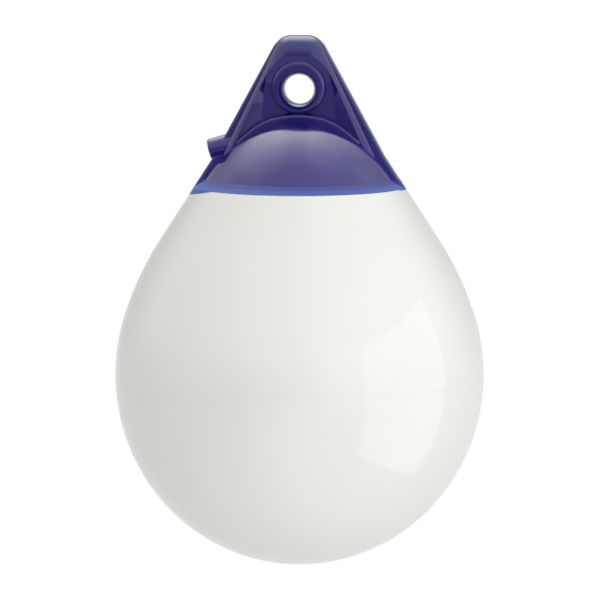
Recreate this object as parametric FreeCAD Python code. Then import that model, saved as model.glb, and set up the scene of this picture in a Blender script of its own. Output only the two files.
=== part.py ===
import FreeCAD, Part
import math
import os

# Inflatable round mooring buoy: a hollow vinyl shell under a solid moulded rope hold.
# Millimetres. The origin is the centre of the rope eye, whose axis is Y; +Z is up.

Vector = FreeCAD.Vector
UP = Vector(0, 0, 1)
ACROSS = Vector(1, 0, 0)
THROUGH = Vector(0, 1, 0)
CENTRE = Vector(0, 0, 0)
TOUCHING = 1e-6             # places nearer than this are the same place

# Outside line of the whole buoy, seen from the front
TOP_Z = 29.7                # top of the eye plate
EYE_HALF_WIDTH = 27.0       # half the plate's width at the height of the eye
PLATE_SPREAD = 0.543        # how much the half width grows for each mm down the plate
SHOULDER_Z = -37.0          # where the plate's side line turns into the body's cone line
CONE_SPREAD = 0.642         # the same growth along the body's cone
RIM_Z = -54.1               # lower edge of the rope hold
EQUATOR_R = 101.6           # widest ring of the body: half of the 203 mm diameter
CHEEK_R = 110.0             # arc just above the equator
CHEEK_ANGLE = 18.0          # degrees that this arc turns
NECK_ARC_R = 173.0          # arc from there up to the cone
BOTTOM_DEPTH = 104.9        # from the equator down to the lowest point

# Body shell
SHELL_WALL = 2.2
SEAM_DROP = 2.2             # the raised mould line runs this far below the equator
SEAM_HEIGHT = 0.15
SEAM_WIDTH = 0.9

# Rope hold: dome and skirt
FLANGE_RISE = 3.0           # how far the side flanges stand out from the skirt
DOME_Z = -13.0              # top of the dome
DOME_CROWN = 24.0           # how strongly the dome's curve keeps level at its top
DOME_FOOT_Z = -48.0         # the curve ends here, on the skirt's cone
DOME_SIDE = 12.0            # how strongly it keeps to that cone
SEAT_SHARES = (0.35, 0.7)   # corners of the seat under the dome, as shares of its curve
FLARE_HEIGHT = 3.4          # the skirt flares out to the body over this height
FLARE_ROUND = 7.0
LIP_THICKNESS = 0.8         # edge of the skirt at the rim
APRON_DROP = 3.9            # the rim dips this far under the valve
APRON_HALF = 36.0           # half width of that dip
FOOT_DROP = 1.1             # the same under the other flange
FOOT_HALF = 18.0
SKIRT_THICKNESS = 4.6

# Rope hold: eye plate, ribs and flanges
WEB_HALF = 10.0             # half thickness over the ribs and the head
FLANGE_DROP = 1.2           # how far the flange stays below the top of the head
FLANGE_ROOT = 16.0          # how deep the flange's plate reaches in from the side line
WEB_SPREAD = 0.472
WEB_FOOT_Z = -42.0          # the web ends inside the dome
HEAD_ROUND = 9.9            # corners of the head, seen from the front
HEAD_EDGE = 9.4             # rounding of the head, seen from the side
FOOT_EDGE = 3.0             # the same rounding at the foot of the ribs
PLATE_HALF = 6.5            # half thickness of the recessed plate
FACET_HALF = 8.8            # half thickness where the gussets meet the ribs
FLANGE_HALF = 4.5
FLANGE_EDGE = 1.4
RIB_INNER_TOP = 14.1        # half width between the ribs at the top of the recess
RIB_INNER_SPREAD = 0.423
RECESS_TOP_Z = 19.0         # the head slopes into the recess from here
RECESS_FLOOR_Z = 4.0        # the slope reaches the plate here
RECESS_MOUTH_ROUND = 7.0    # upper corners of the recess, at the ribs
RECESS_FLOOR_ROUND = 4.0
RIB_WALL = 0.3              # width of the steep upper wall beside the ribs
GUSSET_TOP_Z = 1.2          # the gussets start here and widen downwards
GUSSET_INSET = 2.6          # width of the recess wall where the gussets start
GUSSET_SPREAD = 0.084
RECESS_FOOT_Z = -34.0

# Rope hold: ledge under the recess, standing a little out of the dome
LEDGE_HALF = 11.6           # half thickness of the plinth under the ledge
LEDGE_Z = -13.8             # height of the ledge in the middle
# half width and fall below the middle, along the ledge
LEDGE_POINTS = ((10.6, 1.1), (19.9, 4.2), (27.0, 9.0), (34.0, 14.8))
LEDGE_FOOT_Z = -37.5
LEDGE_RISE = 1.4            # height of the ledge's slope up to the plate
LEDGE_EDGE = 1.0

# Rope eye
EYE_R = 8.2
EYE_THROAT = 4.0            # length of the straight bore in the middle
EYE_MOUTH_R = 10.8          # where the flared mouths meet the ring's faces
RING_R = 14.9
RING_RISE = 1.5             # the ring's middle lies this far above the eye's
RING_HALF = 10.3
RING_EDGE = 2.4

# Air valve
VALVE_TILT = 14.0           # degrees that the valve points down
VALVE_Z = -33.9             # height of the middle of the boss's end
BOSS_REACH = 4.6            # how far it stands out from the outside line there
BOSS_R = 5.75
BOSS_EDGE = 1.6
BOSS_TAPER = 2.0            # degrees, each side
BOSS_LENGTH = 17.0
HEAD_R = 3.4                # valve screw
HEAD_THICKNESS = 2.0
SCREW_EDGE = 0.35           # chamfer round the screw's head
SLOT_WIDTH = 1.0
SLOT_DEPTH = 1.1
SHANK_R = 2.5
SHANK_LENGTH = 10.0
SHANK_TIP = 0.6
HEAD_GAP = 0.5              # round the screw head, in the mouth of the boss
THREAD_GAP = 0.08           # radial clearance of the shank in the insert
SEAL_THICKNESS = 0.8
SEAL_GAP = 0.05             # between the seal and the faces beside it
SEAL_INSET = 0.1            # how far the seal's edge lies inside the head's edge
INSERT_WALL = 1.6
BARB_HEIGHT = 0.6
BARB_WIDTH = 1.6
BARB_COUNT = 3
PASSAGE_LENGTH = 34.0       # air passage, from the end of the boss into the body


def front(x, z, y=0.0):
    """A point by its place seen from the front, and its depth."""
    return Vector(x, y, z)


def outline(points, depth=0.0):
    """A closed wire of straight lines in a plane parallel to XZ."""
    ring = [front(x, z, depth) for x, z in points]
    return Part.makePolygon(ring + ring[:1])


def mirrored(half):
    """A list of points on the right, followed by the same points on the left."""
    return half + [(-x, z) for x, z in reversed(half)]


def lines(points):
    """The straight edges that join a list of points."""
    return [Part.makeLine(a, b) for a, b in zip(points, points[1:])]


def rounded_line(points, radii):
    """Edges of an open line in the XZ plane, with its inner corners rounded."""
    edges = []
    start = front(*points[0])
    for here, after, radius in zip(points[1:-1], points[2:], radii):
        corner = front(*here)
        back = (start - corner).normalize()
        ahead = (front(*after) - corner).normalize()
        half_angle = back.getAngle(ahead) / 2
        reach = radius / math.tan(half_angle)
        bisector = (back + ahead).normalize()
        middle = corner + bisector * (radius / math.sin(half_angle) - radius)
        first, last = corner + back * reach, corner + ahead * reach
        edges.append(Part.makeLine(start, first))
        edges.append(Part.Arc(first, middle, last).toShape())
        start = last
    edges.append(Part.makeLine(start, front(*points[-1])))
    return edges


def turned(edges):
    """The solid made by turning a closed set of edges about the Z axis."""
    face = Part.Face(Part.Wire(Part.__sortEdges__(edges)))
    return face.revolve(CENTRE, UP, 360)


def inset_line(points, distance):
    """An open line moved sideways, towards the axis and down, by a distance."""
    moved = []
    for (x0, z0), (x1, z1) in zip(points, points[1:]):
        run = Vector(x1 - x0, 0, z1 - z0).normalize()
        side = Vector(run.z, 0, -run.x) * distance
        moved.append((front(x0, z0) + side, front(x1, z1) + side))
    line = [(moved[0][0].x, moved[0][0].z)]
    for (a0, a1), (b0, b1) in zip(moved, moved[1:]):
        first, second = a1 - a0, b1 - b0
        cross = first.x * second.z - first.z * second.x
        share = ((b0.x - a0.x) * second.z - (b0.z - a0.z) * second.x) / cross
        meet = a0 + first * share
        line.append((meet.x, meet.z))
    line.append((moved[-1][1].x, moved[-1][1].z))
    return line


def side_x(z):
    """Half width of the whole buoy's outline at a height above the equator's arcs."""
    shoulder = EYE_HALF_WIDTH - PLATE_SPREAD * SHOULDER_Z
    if z > SHOULDER_Z:
        return EYE_HALF_WIDTH - PLATE_SPREAD * z
    return shoulder + CONE_SPREAD * (SHOULDER_Z - z)


RIM_R = side_x(RIM_Z)


def body_line(wall):
    """Edges of the body from the top of its arcs down to the lowest point, set in by a wall."""
    cheek = math.radians(CHEEK_ANGLE)
    cone = math.atan(CONE_SPREAD)
    low_r = EQUATOR_R - CHEEK_R * (1 - math.cos(cheek))
    high_r = low_r - NECK_ARC_R * (math.cos(cheek) - math.cos(cone))
    rise = CHEEK_R * math.sin(cheek) + NECK_ARC_R * (math.sin(cone) - math.sin(cheek))
    # the upper arc ends on the cone, which settles the height of the equator
    equator_z = SHOULDER_Z - (high_r - side_x(SHOULDER_Z)) / CONE_SPREAD - rise
    low_centre = front(EQUATOR_R - CHEEK_R, equator_z)
    high_centre = low_centre - (NECK_ARC_R - CHEEK_R) * front(math.cos(cheek), math.sin(cheek))

    def on_arc(centre, radius, angle):
        return centre + (radius - wall) * front(math.cos(angle), math.sin(angle))

    top, joint = on_arc(high_centre, NECK_ARC_R, cone), on_arc(high_centre, NECK_ARC_R, cheek)
    equator = on_arc(low_centre, CHEEK_R, 0)
    bottom = front(0, equator_z - BOTTOM_DEPTH + wall)
    upper = Part.Arc(top, on_arc(high_centre, NECK_ARC_R, (cone + cheek) / 2), joint)
    lower = Part.Arc(joint, on_arc(low_centre, CHEEK_R, cheek / 2), equator)
    bowl = Part.BezierCurve()
    bowl.setPoles([equator, front(equator.x, bottom.z), bottom])
    bowl.setWeight(2, math.sqrt(0.5))
    return top, equator, bottom, [upper.toShape(), lower.toShape(), bowl.toShape()]


def skirt_x(z):
    """Radius of the skirt's cone at a height."""
    return RIM_R - FLANGE_RISE + CONE_SPREAD * (RIM_Z - z)


def dome_curve():
    """The dome's line, from its top on the axis down to the skirt's cone."""
    foot = front(skirt_x(DOME_FOOT_Z), DOME_FOOT_Z)
    upward = front(-CONE_SPREAD, 1).normalize()
    curve = Part.BezierCurve()
    curve.setPoles([front(0, DOME_Z), front(DOME_CROWN, DOME_Z), foot + upward * DOME_SIDE, foot])
    return curve


def flare_line():
    """Corner points of the skirt and its flare, from the dome's curve down to the rim."""
    return [(skirt_x(z), z) for z in (DOME_FOOT_Z, RIM_Z + FLARE_HEIGHT)] + [(RIM_R, RIM_Z)]


def neck_line():
    """The seat between shell and rope hold, from the axis down to the lip."""
    under = [dome_curve().value(share) for share in (0, *SEAT_SHARES)]
    seat = inset_line([(point.x, point.z) for point in under] + [flare_line()[1]], SKIRT_THICKNESS)
    cone = math.atan(CONE_SPREAD)
    lip = (RIM_R - LIP_THICKNESS * math.cos(cone), RIM_Z - LIP_THICKNESS * math.sin(cone))
    upper_r, upper_z = seat[-2]
    ledge_z = lip[1]
    ledge_r = upper_r + (upper_z - ledge_z) * CONE_SPREAD
    return [(0, seat[0][1])] + seat[1:-1] + [(ledge_r, ledge_z), lip]


def body_shell():
    """The hollow shell: a neck under the rope hold, the cone, the cheeks and the bowl."""
    neck = neck_line()
    top, equator, bottom, sides = body_line(0)
    outer_line = [bottom] + [front(*point) for point in neck] + [front(RIM_R, RIM_Z), top]
    outer = turned(lines(outer_line) + sides)

    inner_neck = inset_line(neck, SHELL_WALL)
    inner_top, _, inner_bottom, inner_sides = body_line(SHELL_WALL)
    under_z = inner_neck[-1][1]
    slant = SHELL_WALL / math.cos(math.atan(CONE_SPREAD))
    inner_neck[0] = (0, inner_neck[0][1])
    inner_neck[-1] = (side_x(under_z) - slant, under_z)
    inner_line = [inner_bottom] + [front(*point) for point in inner_neck] + [inner_top]
    inner = turned(lines(inner_line) + inner_sides)

    half = SEAM_WIDTH / 2
    seam_z = equator.z - SEAM_DROP
    seam_r = EQUATOR_R * math.sqrt(1 - (SEAM_DROP / BOTTOM_DEPTH) ** 2)
    seam = turned(outline([
        (seam_r - SEAM_HEIGHT, seam_z + half), (seam_r + SEAM_HEIGHT, seam_z),
        (seam_r - SEAM_HEIGHT, seam_z - half)]).Edges)
    return outer.fuse(seam).cut(inner)


def dome_edges():
    """Edges of the outside of the dome, skirt and flare, from the axis down to the rim."""
    return [dome_curve().toShape()] + rounded_line(flare_line(), [FLARE_ROUND])


def dome():
    """Dome, skirt and flare of the rope hold, hollow for the shell's neck."""
    neck = [front(*point) for point in neck_line()]
    return turned(dome_edges() + lines([front(RIM_R, RIM_Z)] + neck[::-1] + [front(0, DOME_Z)]))


def apron(drop, half_width, side):
    """The dip of the rim at one side: a thin tongue that lies flush in the body's cone."""
    cone = math.atan(CONE_SPREAD)
    low_z = RIM_Z - drop
    inward = (LIP_THICKNESS * math.cos(cone), LIP_THICKNESS * math.sin(cone))
    line = [(RIM_R, RIM_Z), (side_x(low_z), low_z), (side_x(low_z) - inward[0], low_z - inward[1]),
            (RIM_R - inward[0], RIM_Z - inward[1])]
    band = turned(outline(line).Edges)
    radius = (half_width ** 2 + drop ** 2) / (2 * drop)
    return band.common(Part.makeCylinder(radius, 2 * RIM_R, Vector(0, 0, low_z + radius), ACROSS * side))


def aprons():
    """Both dips of the rim, the deeper one under the valve."""
    return [apron(APRON_DROP, APRON_HALF, -1), apron(FOOT_DROP, FOOT_HALF, 1)]


def slab(points, back, ahead):
    """A plate parallel to XZ with a given outline, between two depths."""
    face = Part.Face(outline(points, back))
    return face.extrude(THROUGH * (ahead - back))


def both_ways(solid, direction):
    """A solid joined with its mirror image."""
    return solid.fuse(solid.mirror(CENTRE, direction)).removeSplitter()


def flange():
    """The flat flange that runs down both sides of the rope hold."""
    top_z = TOP_Z - FLANGE_DROP
    foot_x = side_x(SHOULDER_Z) - FLANGE_ROOT
    line = [(side_x(top_z), top_z), (side_x(SHOULDER_Z), SHOULDER_Z), (RIM_R, RIM_Z),
            (RIM_R - FLANGE_RISE, RIM_Z), (foot_x, SHOULDER_Z), (foot_x, DOME_Z)]
    plate = slab(mirrored(line), -FLANGE_HALF, FLANGE_HALF)
    corners = [edge for edge in plate.Edges
               if edge.BoundBox.ZLength < TOUCHING and abs(edge.CenterOfMass.y) < TOUCHING
               and edge.CenterOfMass.z > top_z - TOUCHING]
    plate = plate.makeFillet(HEAD_ROUND, corners)
    rims = [edge for edge in plate.Edges
            if edge.BoundBox.YLength < TOUCHING and edge.BoundBox.ZLength > FLANGE_EDGE
            and abs(edge.CenterOfMass.x) > side_x(edge.CenterOfMass.z) - HEAD_ROUND / 2]
    return plate.makeFillet(FLANGE_EDGE, rims)


def web_x(z):
    """Half width of the thick web at a height."""
    return side_x(TOP_Z) + WEB_SPREAD * (TOP_Z - z)


def web_edge(z):
    """Rounding of the web's front edge, which shrinks from the head to the foot."""
    share = min(1, (TOP_Z - z) / (TOP_Z - WEB_FOOT_Z))
    return HEAD_EDGE + (FOOT_EDGE - HEAD_EDGE) * share


def web():
    """The thick eye plate with its rounded head, before the recesses are cut."""
    line = [(0, TOP_Z), (web_x(TOP_Z), TOP_Z), (web_x(WEB_FOOT_Z), WEB_FOOT_Z), (0, WEB_FOOT_Z)]
    quarter = slab(line, -WEB_HALF, 0)
    corner = [edge for edge in quarter.Edges
              if edge.BoundBox.ZLength < TOUCHING and edge.BoundBox.XLength < TOUCHING
              and edge.CenterOfMass.z > 0 and edge.CenterOfMass.x > TOUCHING]
    quarter = quarter.makeFillet(HEAD_ROUND, corner)
    document = FreeCAD.newDocument("rounding")
    plain = document.addObject("Part::Feature", "plain")
    plain.Shape = quarter
    rounded = document.addObject("Part::Fillet", "rounded")
    rounded.Base = plain
    chain = []
    for number, edge in enumerate(quarter.Edges, 1):
        middle = edge.CenterOfMass
        in_front = abs(middle.y + WEB_HALF) < TOUCHING
        if in_front and middle.x > TOUCHING and middle.z > WEB_FOOT_Z + TOUCHING:
            first, last = edge.firstVertex().Point, edge.lastVertex().Point
            chain.append((number, web_edge(first.z), web_edge(last.z)))
    rounded.Edges = chain
    document.recompute()
    return both_ways(both_ways(rounded.Shape, ACROSS), THROUGH)


def recess_wire(half, radius, depth):
    """The recess's outline at one depth: three corners on the right, the top one rounded."""
    top, gusset, foot = half
    upper = [gusset, top, (-top[0], top[1]), (-gusset[0], gusset[1])]
    edges = rounded_line(upper, [radius, radius])
    lower = [front(-gusset[0], gusset[1]), front(-foot[0], foot[1]), front(*foot), front(*gusset)]
    wire = Part.Wire(edges + lines(lower))
    wire.translate(-THROUGH * depth)
    return wire


def rib_inner(z):
    """Half width between the ribs at a height."""
    return RIB_INNER_TOP + RIB_INNER_SPREAD * (RECESS_TOP_Z - z)


def recess():
    """What is cut from the front of the web between its ribs."""
    gusset_x = rib_inner(GUSSET_TOP_Z) - GUSSET_INSET
    foot_x = gusset_x + GUSSET_SPREAD * (GUSSET_TOP_Z - RECESS_FOOT_Z)
    share = (FACET_HALF - PLATE_HALF) / (WEB_HALF - PLATE_HALF)
    step_z = RECESS_FLOOR_Z + share * (RECESS_TOP_Z - RECESS_FLOOR_Z)
    floor = [(rib_inner(RECESS_FLOOR_Z) - GUSSET_INSET, RECESS_FLOOR_Z),
             (gusset_x, GUSSET_TOP_Z), (foot_x, RECESS_FOOT_Z)]
    step = [(rib_inner(z) - RIB_WALL, z) for z in (step_z, GUSSET_TOP_Z, RECESS_FOOT_Z)]
    mouth = [(rib_inner(z), z) for z in (RECESS_TOP_Z, GUSSET_TOP_Z, RECESS_FOOT_Z)]
    step_round = RECESS_FLOOR_ROUND + share * (RECESS_MOUTH_ROUND - RECESS_FLOOR_ROUND)
    wires = [recess_wire(floor, RECESS_FLOOR_ROUND, PLATE_HALF), recess_wire(step, step_round, FACET_HALF),
             recess_wire(mouth, RECESS_MOUTH_ROUND, WEB_HALF)]
    outside = Part.Face(wires[-1]).extrude(-THROUGH * WEB_HALF)
    return Part.makeLoft(wires, True, True).fuse(outside)


def ledge_wire(raised, depth):
    """The plinth's outline at one depth, its upper edge raised by an amount."""
    top = front(0, LEDGE_Z + raised, depth)
    right = [front(x, LEDGE_Z + raised - fall, depth) for x, fall in LEDGE_POINTS]
    left = [Vector(-point.x, point.y, point.z) for point in reversed(right)]
    ledge = Part.BSplineCurve()
    ledge.interpolate(left + [top] + right)
    end = right[-1]
    corners = [end, front(end.x, LEDGE_FOOT_Z, depth), front(-end.x, LEDGE_FOOT_Z, depth), left[0]]
    return Part.Wire([ledge.toShape()] + lines(corners))


def plinth():
    """The raised foot of the eye plate: its upper edge is the arched ledge."""
    slope = LEDGE_RISE / (LEDGE_HALF - PLATE_HALF)
    half = Part.makeLoft([ledge_wire(0, -LEDGE_HALF), ledge_wire(slope * LEDGE_HALF, 0)], True, True)
    brow = [edge for edge in half.Edges
            if edge.BoundBox.YLength < TOUCHING and edge.BoundBox.ZMax > LEDGE_Z - LEDGE_EDGE
            and edge.CenterOfMass.y < -PLATE_HALF]
    return both_ways(half.makeFillet(LEDGE_EDGE, brow), THROUGH)


def ring():
    """The raised ring round the eye."""
    solid = Part.makeCylinder(RING_R, 2 * RING_HALF, UP * RING_RISE - THROUGH * RING_HALF, THROUGH)
    ends = [edge for edge in solid.Edges if abs(abs(edge.CenterOfMass.y) - RING_HALF) < TOUCHING]
    return solid.makeFillet(RING_EDGE, ends)


def eye():
    """What is cut away through the ring: a short bore between two flared mouths."""
    throat = EYE_THROAT / 2
    flare_r = EYE_MOUTH_R - EYE_R
    flare = RING_HALF - throat
    bend = (flare ** 2 + flare_r ** 2) / (2 * flare_r)
    half_turn = math.asin(flare / bend) / 2
    lip = Part.Arc(Vector(EYE_R, throat, 0),
                   Vector(EYE_R + bend * (1 - math.cos(half_turn)), throat + bend * math.sin(half_turn), 0),
                   Vector(EYE_MOUTH_R, RING_HALF, 0))
    past = RING_HALF + flare
    corners = [Vector(EYE_MOUTH_R, RING_HALF, 0), Vector(EYE_MOUTH_R, past, 0), Vector(0, past, 0),
               Vector(0, 0, 0), Vector(EYE_R, 0, 0), Vector(EYE_R, throat, 0)]
    face = Part.Face(Part.Wire(Part.__sortEdges__([lip.toShape()] + lines(corners))))
    half = face.revolve(CENTRE, THROUGH, 360)
    return both_ways(half, THROUGH)


OUTWARD = Vector(-math.cos(math.radians(VALVE_TILT)), 0, -math.sin(math.radians(VALVE_TILT)))
VALVE_FACE = front(-side_x(VALVE_Z) - BOSS_REACH, VALVE_Z)


def along_valve(depth):
    """A point on the valve's axis, this far in from the end of the boss."""
    return VALVE_FACE - OUTWARD * depth


def valve_rod(radius, outer, inner):
    """A cylinder on the valve's axis between two depths."""
    return Part.makeCylinder(radius, inner - outer, along_valve(outer), -OUTWARD)


SEAL_DEPTH = HEAD_THICKNESS + SEAL_GAP
INSERT_DEPTH = SEAL_DEPTH + SEAL_THICKNESS + SEAL_GAP
INSERT_BORE = SHANK_R + THREAD_GAP
INSERT_R = INSERT_BORE + INSERT_WALL
INSERT_END = HEAD_THICKNESS + SHANK_LENGTH


def boss():
    """The round boss that carries the air valve."""
    root_r = BOSS_R + BOSS_LENGTH * math.tan(math.radians(BOSS_TAPER))
    solid = Part.makeCone(BOSS_R, root_r, BOSS_LENGTH, along_valve(0), -OUTWARD)
    end = [edge for edge in solid.Edges if (edge.CenterOfMass - along_valve(0)).Length < TOUCHING]
    return solid.makeFillet(BOSS_EDGE, end)


def valve_insert():
    """The threaded bush, with rings that key it into the boss."""
    bush = valve_rod(INSERT_R, INSERT_DEPTH, INSERT_END)
    pitch = (INSERT_END - INSERT_DEPTH) / BARB_COUNT
    for number in range(BARB_COUNT):
        start = INSERT_DEPTH + (number + 0.5) * pitch - BARB_WIDTH / 2
        barb = Part.makeCone(INSERT_R + BARB_HEIGHT, INSERT_R, BARB_WIDTH, along_valve(start), -OUTWARD)
        bush = bush.fuse(barb)
    return bush.cut(valve_rod(INSERT_BORE, 0, 2 * INSERT_END))


def valve_screw():
    """The slotted screw that closes the valve."""
    head = valve_rod(HEAD_R, 0, HEAD_THICKNESS)
    rims = [edge for edge in head.Edges if (edge.CenterOfMass - along_valve(0)).Length < TOUCHING]
    head = head.makeChamfer(SCREW_EDGE, rims)
    shank = valve_rod(SHANK_R, HEAD_THICKNESS, INSERT_END)
    tips = [edge for edge in shank.Edges if (edge.CenterOfMass - along_valve(INSERT_END)).Length < TOUCHING]
    shank = shank.makeChamfer(SHANK_TIP, tips)
    slot = Part.makeBox(2 * HEAD_R, SLOT_WIDTH, 2 * SLOT_DEPTH, Vector(-HEAD_R, -SLOT_WIDTH / 2, -SLOT_DEPTH))
    turn = FreeCAD.Rotation(UP, -OUTWARD)
    slot.Placement = FreeCAD.Placement(along_valve(0), turn).multiply(slot.Placement)
    return head.fuse(shank).cut(slot)


def valve_seal():
    """The rubber washer between the screw's head and the insert."""
    washer = valve_rod(HEAD_R - SEAL_INSET, SEAL_DEPTH, SEAL_DEPTH + SEAL_THICKNESS)
    return washer.cut(valve_rod(INSERT_BORE, 0, INSERT_END))


def rope_hold():
    """The moulded top: dome, web with its recesses, plinth, flanges, ring, boss and eye."""
    cutter = recess()
    plate = web().cut([cutter, cutter.mirror(CENTRE, THROUGH)])
    solid = dome().fuse([plate, plinth(), flange(), ring(), boss()] + aprons())
    neck = [front(*point) for point in neck_line()]
    lip = neck[-1]
    corners = neck + [Vector(lip.x, 0, 2 * RIM_Z), Vector(0, 0, 2 * RIM_Z), neck[0]]
    seat = turned(lines(corners))
    mouth = valve_rod(HEAD_R + HEAD_GAP, 0, INSERT_DEPTH)
    return solid.cut([eye(), seat, mouth, valve_insert(), valve_rod(INSERT_BORE, 0, PASSAGE_LENGTH)])


def main():
    os.makedirs("parts", exist_ok=True)
    hold = rope_hold()
    shell = body_shell().cut(aprons() + [valve_rod(INSERT_BORE, 0, PASSAGE_LENGTH)])
    nodes = {"body_shell": shell, "rope_hold": hold, "valve_insert": valve_insert(),
             "valve_screw": valve_screw(), "valve_seal": valve_seal()}
    for name, shape in nodes.items():
        shape.exportStep("parts/" + name + ".step")
        print(name, shape.isValid(), round(shape.Volume, 1), len(shape.Solids))


main()
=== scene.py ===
import math
import bpy
from mathutils import Matrix, Vector

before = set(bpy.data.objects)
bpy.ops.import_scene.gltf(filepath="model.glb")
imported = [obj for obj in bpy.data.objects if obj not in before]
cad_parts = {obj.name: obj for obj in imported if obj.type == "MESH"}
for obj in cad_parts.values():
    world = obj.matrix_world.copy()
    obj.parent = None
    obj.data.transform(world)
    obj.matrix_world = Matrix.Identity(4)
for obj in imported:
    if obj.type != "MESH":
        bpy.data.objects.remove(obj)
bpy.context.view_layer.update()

# The body is a hollow shell of soft white vinyl, moulded in one piece and blown up with air.
# Its skin is glossy and very smooth, with only a faint cloudiness in the plastic, and a thin
# mould line runs round it just below its widest part.


class Tap:
    """A shader socket that can be used in sums."""

    def __init__(self, nodes, socket):
        self.nodes, self.socket = nodes, socket

    def maths(self, operation, *values, clamp=False):
        settings = {"operation": operation, "use_clamp": clamp}
        return self.nodes.add("ShaderNodeMath", settings, dict(enumerate(values)))

    def __add__(self, other):
        return self.maths("ADD", self, other)

    def __radd__(self, other):
        return self.maths("ADD", other, self)

    def __sub__(self, other):
        return self.maths("SUBTRACT", self, other)

    def __rsub__(self, other):
        return self.maths("SUBTRACT", other, self)

    def __mul__(self, other):
        return self.maths("MULTIPLY", self, other)

    def __rmul__(self, other):
        return self.maths("MULTIPLY", other, self)

    def __truediv__(self, other):
        return self.maths("DIVIDE", self, other)

    def __pow__(self, other):
        return self.maths("POWER", self, other)

    def __abs__(self):
        return self.maths("ABSOLUTE", self)

    def clamped(self):
        """The same, held between 0 and 1."""
        return self.maths("ADD", self, 0.0, clamp=True)

    def fade(self, none, full):
        """0 where the socket gives the first value, rising to 1 where it gives the second."""
        return ((self - none) / (full - none)).clamped()


class Finish:
    """A material or sky, built node by node."""

    def __init__(self, tree, surface):
        self.tree, self.surface = tree, surface

    def add(self, kind, settings=None, sockets=None, out=0):
        """Adds a node: its settings first, then the values and links of its sockets."""
        node = self.tree.nodes.new(kind)
        for name, value in (settings or {}).items():
            setattr(node, name, value)
        for name, value in (sockets or {}).items():
            self.feed(node, name, value)
        return Tap(self, node.outputs[out])

    def feed(self, node, name, value):
        """Sets one socket to a value, or links it."""
        if isinstance(value, Tap):
            self.tree.links.new(value.socket, node.inputs[name])
        else:
            node.inputs[name].default_value = value

    def set(self, **values):
        """Sets sockets of the surface shader, with spaces for underscores."""
        for name, value in values.items():
            self.feed(self.surface, name.replace("_", " "), value)

    def mix(self, share, first, second):
        """A colour between two others."""
        sockets = {0: share, 6: first, 7: second}
        return self.add("ShaderNodeMix", {"data_type": "RGBA"}, sockets, out=2)

    def place(self):
        """Where a point of the piece is, in metres."""
        return self.add("ShaderNodeTexCoord", out=3)

    def axis(self, where, number):
        """One of the three parts of a place or a direction."""
        return self.add("ShaderNodeSeparateXYZ", sockets={0: where}, out=number)

    def along(self, where, way):
        """How far a place or a direction reaches one way."""
        settings = {"operation": "DOT_PRODUCT"}
        return self.add("ShaderNodeVectorMath", settings, {0: where, 1: way}, out=1)

    def noise(self, scale, detail):
        """A cloudy pattern from 0 to 1, with so many clouds to the metre."""
        sockets = {"Vector": self.place(), "Scale": scale, "Detail": detail}
        return self.add("ShaderNodeTexNoise", sockets=sockets)

    def bump(self, height, strength, distance):
        """The slope of a raised pattern, whose full height is given in metres."""
        sockets = {"Strength": strength, "Distance": distance, "Height": height}
        return self.add("ShaderNodeBump", sockets=sockets)


def finish(name, **values):
    """A new material with a shader for solid things."""
    material = bpy.data.materials.new(name)
    material.use_nodes = True
    made = Finish(material.node_tree, material.node_tree.nodes["Principled BSDF"])
    made.set(**values)
    return material, made


def dress(node, material):
    """Gives a piece its material."""
    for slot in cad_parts[node].material_slots:
        slot.material = material


WHITE = (0.80, 0.808, 0.765, 1)
WHITE_CLOUD = (0.815, 0.823, 0.78, 1)

white_vinyl, made = finish("white_vinyl", Roughness=0.05, IOR=1.5)
cloud = made.noise(scale=14.0, detail=3.0)
ripple = made.noise(scale=45.0, detail=1.0)
made.set(Base_Color=made.mix(cloud, WHITE, WHITE_CLOUD))
made.set(Normal=made.bump(ripple, strength=0.05, distance=0.0005))
dress("body_shell", white_vinyl)

# The rope hold is the solid top, moulded in navy blue vinyl and welded onto the neck of the
# shell. It is glossy and a little uneven from the mould. Over the neck its colour is painted a
# shade lighter: painted light from above on the upward-facing dome. At its thin, dull lower
# edge the white underneath shines through.

NAVY = (0.0125, 0.0095, 0.127, 1)
NAVY_CLOUD = (0.0145, 0.0115, 0.140, 1)
# Painted light: the lighter blue of the dome over the neck, as if lit from above.
NAVY_PAINTED_LIGHT = (0.0150, 0.0115, 0.168, 1)
EDGE_BLUE = (0.026, 0.072, 0.32, 1)
NECK_TOP_Z = -0.022
NECK_LOW_Z = -0.034
EDGE_TOP_Z = -0.0488
EDGE_LOW_Z = -0.0533
EDGE_CURVE = 1.5
HOLD_ROUGHNESS = 0.11
GRAIN_ROUGHNESS = 0.04
EDGE_ROUGHNESS = 0.5
GRAIN_HEIGHT = 0.15

navy_vinyl, made = finish("navy_vinyl", IOR=1.5)
height = made.axis(made.place(), 2)
# Painted light: the colour turns lighter lower down, over the upward-facing dome.
painted_light_from_above = height.fade(NECK_TOP_Z, NECK_LOW_Z)
thin = height.fade(EDGE_TOP_Z, EDGE_LOW_Z)
cloud = made.noise(scale=30.0, detail=3.0)
grain = made.noise(scale=900.0, detail=2.0)
swell = made.noise(scale=60.0, detail=1.0)
navy = made.mix(painted_light_from_above, made.mix(cloud, NAVY, NAVY_CLOUD), NAVY_PAINTED_LIGHT)
dull_edge = EDGE_ROUGHNESS * (2.0 * thin).clamped()
made.set(Base_Color=made.mix(thin ** EDGE_CURVE, navy, EDGE_BLUE))
made.set(Roughness=HOLD_ROUGHNESS + GRAIN_ROUGHNESS * grain + dull_edge)
made.set(Normal=made.bump(grain * GRAIN_HEIGHT + swell, strength=0.12, distance=0.0004))
dress("rope_hold", navy_vinyl)

# The air valve is a black nylon bush moulded into the boss, with a slotted screw of the same
# nylon that closes it. Both have a fine thread, and the screw's head is faintly scuffed.

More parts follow.
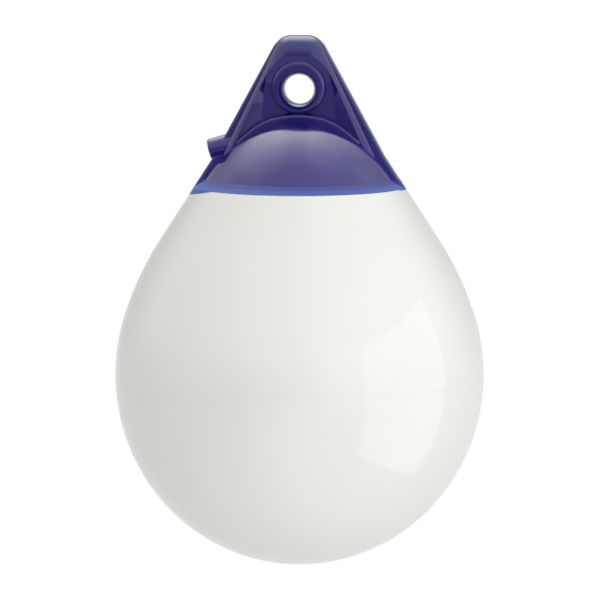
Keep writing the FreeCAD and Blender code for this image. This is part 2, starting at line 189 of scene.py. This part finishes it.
THREAD_PITCH = 0.0015
VALVE_TILT = math.radians(14)
VALVE_AXIS = Vector((-math.cos(VALVE_TILT), 0, -math.sin(VALVE_TILT)))
NYLON_BLACKS = {
    "valve_insert": ((0.020, 0.020, 0.022, 1), (0.044, 0.044, 0.046, 1)),
    "valve_screw": ((0.026, 0.026, 0.0286, 1), (0.0572, 0.0572, 0.0598, 1)),
}
NYLON_ROUGHNESS = 0.42
SCUFF_ROUGHNESS = 0.25

for node, (clean, scuffed) in NYLON_BLACKS.items():
    nylon, made = finish(node + "_nylon", IOR=1.53)
    down_the_valve = made.along(made.place(), VALVE_AXIS)
    thread = down_the_valve.maths("PINGPONG", down_the_valve, THREAD_PITCH / 2)
    scuff = made.noise(scale=700.0, detail=4.0)
    made.set(Base_Color=made.mix(scuff, clean, scuffed))
    made.set(Roughness=NYLON_ROUGHNESS + SCUFF_ROUGHNESS * scuff)
    made.set(Normal=made.bump(thread / (THREAD_PITCH / 2), strength=0.5, distance=0.0003))
    dress(node, nylon)

# The seal is a flat washer of soft black rubber, with a little dust on it. It sits under the
# screw's head, rides with the screw, and is pressed onto the bush when the valve is closed.

RUBBER_BLACK = (0.012, 0.012, 0.012, 1)
RUBBER_DUSTY = (0.03, 0.03, 0.029, 1)
RUBBER_ROUGHNESS = 0.6
DUST_ROUGHNESS = 0.25

soft_rubber, made = finish("soft_rubber", IOR=1.5)
dust = made.noise(scale=1200.0, detail=4.0)
made.set(Base_Color=made.mix(dust, RUBBER_BLACK, RUBBER_DUSTY))
made.set(Roughness=RUBBER_ROUGHNESS + DUST_ROUGHNESS * dust)
made.set(Normal=made.bump(dust, strength=0.3, distance=0.0001))
dress("valve_seal", soft_rubber)

# The floor is a plain pale sheet, far enough below the hanging buoy to leave no shadow in view.
# It looks evenly white to the camera, and it neither lights the buoy nor shows in its gloss.

FLOOR_Z = -1.2
FLOOR_HALF = 150.0

corners = [(-1, -1), (1, -1), (1, 1), (-1, 1)]
mesh = bpy.data.meshes.new("floor")
mesh.from_pydata([(x * FLOOR_HALF, y * FLOOR_HALF, FLOOR_Z) for x, y in corners], [], [(0, 1, 2, 3)])
floor = bpy.data.objects.new("floor", mesh)
bpy.context.scene.collection.objects.link(floor)
pale, made = finish("pale_floor", Roughness=1.0, Emission_Color=(1, 1, 1, 1), Emission_Strength=1.0)
made.set(Base_Color=(0, 0, 0, 1), Specular_IOR_Level=0.0)
mesh.materials.append(pale)
floor.visible_diffuse = False
floor.visible_glossy = False
floor.visible_shadow = False

# The light comes from one large softbox on the right and from the pale walls of a studio. The
# gloss mirrors a room of its own: a long lamp over and behind the buoy, pale walls that are
# brightest in front on the right, and a dimmer ground. The camera sees only plain white.

BODY_CENTRE = Vector((0, 0, -0.158))
SOFTBOX_FROM = 0.8
SOFTBOX_TURN = math.radians(82.5)
SOFTBOX_TILT = math.radians(5.3)
SOFTBOX_WIDE = 1.17 * SOFTBOX_FROM
SOFTBOX_HIGH = 1.42 * SOFTBOX_FROM
SOFTBOX_ASIDE = 0.21 * SOFTBOX_FROM
SOFTBOX_BELOW = 0.25 * SOFTBOX_FROM
SOFTBOX_WATTS = 3.2

facing = Vector((math.sin(SOFTBOX_TURN), -math.cos(SOFTBOX_TURN), 0))
sideways = Vector((math.cos(SOFTBOX_TURN), math.sin(SOFTBOX_TURN), 0))
upward = Vector((0, 0, math.cos(SOFTBOX_TILT))) - sideways * math.sin(SOFTBOX_TILT)
turn = Matrix((upward.cross(facing).normalized(), upward, facing)).transposed().to_4x4()
spot = BODY_CENTRE + SOFTBOX_FROM * facing - SOFTBOX_ASIDE * sideways
spot = spot - Vector((0, 0, SOFTBOX_BELOW))
softbox_light = bpy.data.lights.new("softbox", "AREA")
softbox_light.shape = "RECTANGLE"
softbox_light.size = SOFTBOX_WIDE
softbox_light.size_y = SOFTBOX_HIGH
softbox_light.energy = SOFTBOX_WATTS
softbox = bpy.data.objects.new("softbox", softbox_light)
softbox.matrix_world = Matrix.Translation(spot) @ turn
bpy.context.scene.collection.objects.link(softbox)

world = bpy.data.worlds.new("studio")
bpy.context.scene.world = world
world.use_nodes = True
sky = Finish(world.node_tree, world.node_tree.nodes["Background"])


def direction():
    """Where in the sky a ray goes, one metre long: its parts are across, back and rise."""
    return sky.add("ShaderNodeTexCoord", out=0)


def towards(x, y, z, narrow=1.0):
    """How much a direction points one way, from 0 to 1; a higher power keeps it narrow."""
    return sky.along(direction(), Vector((x, y, z)).normalized()).clamped() ** narrow


front_wall = 2.6 * towards(0, -0.990, 0.139, narrow=6)
back_right_wall = 0.8 * towards(0.7, 0.7, 0.139, narrow=6)
back_left_wall = 2.08 * towards(-0.7, 0.7, 0.139, narrow=6)
ceiling = 1.4 * towards(0, 0, 1, narrow=6)
high_right = 0.68 * towards(0.643, 0, 0.766, narrow=6)
ground = 0.82 * towards(0, 0, -1)
soft_light = front_wall + back_right_wall + back_left_wall + ceiling + high_right + ground

LAMP_GLOW = 3.7
LAMP_MIDDLE = -0.08

across, back, rise = (sky.axis(direction(), number) for number in range(3))
aside = abs(across - LAMP_MIDDLE)
lamp_ends = aside.fade(0.66, 0.24)
lamp_front = back.fade(-0.29, 0.23) ** 1.3
lamp_foot = rise.fade(0.45, 0.70)
lamp = LAMP_GLOW * lamp_ends * lamp_front * lamp_foot
above = rise.fade(-0.11, 0.23)
far_shade = 1.0 - 0.55 * back.fade(0.35, 0.80)
upper_room = above * (0.90 + 0.80 * rise + 0.43 * aside) * far_shade
low_front = towards(0, -0.8, -0.6, narrow=6)
lower_room = (1.0 - above) * (0.85 * back.fade(-0.846, -0.077) + 0.75 * low_front)
bright_wall = 0.8 * towards(0.5, -0.86, -0.05, narrow=18)
mirrored = lamp + upper_room + lower_room + bright_wall

seen = sky.add("ShaderNodeLightPath", out=0)
glossy = sky.add("ShaderNodeLightPath", out=3)
around = soft_light + glossy * (mirrored - soft_light)
sky.set(Color=(1, 1, 1, 1), Strength=around + seen * (1.0 - around))

# The camera looks at the front from a little above and a little to the right. It has a long
# lens, which takes in just as much as the photograph shows.

CAMERA_FROM = 9.0
CAMERA_RISE = math.radians(5.5)
CAMERA_TURN = math.radians(4.0)
CAMERA_AIM = Vector((0.00028, 0, -0.1168))
FRAME_WIDTH = 0.3308
FILM_WIDTH = 36.0
FARTHEST_SEEN = 500.0

away = Vector((
    math.sin(CAMERA_TURN) * math.cos(CAMERA_RISE),
    -math.cos(CAMERA_TURN) * math.cos(CAMERA_RISE),
    math.sin(CAMERA_RISE),
))
lens = bpy.data.cameras.new("camera")
lens.sensor_width = FILM_WIDTH
lens.lens = FILM_WIDTH * CAMERA_FROM / FRAME_WIDTH
lens.clip_end = FARTHEST_SEEN
camera = bpy.data.objects.new("camera", lens)
camera.location = CAMERA_AIM + away * CAMERA_FROM
camera.rotation_euler = away.to_track_quat("Z", "Y").to_euler()
bpy.context.scene.collection.objects.link(camera)
bpy.context.scene.camera = camera
bpy.context.scene.view_settings.view_transform = "Standard"
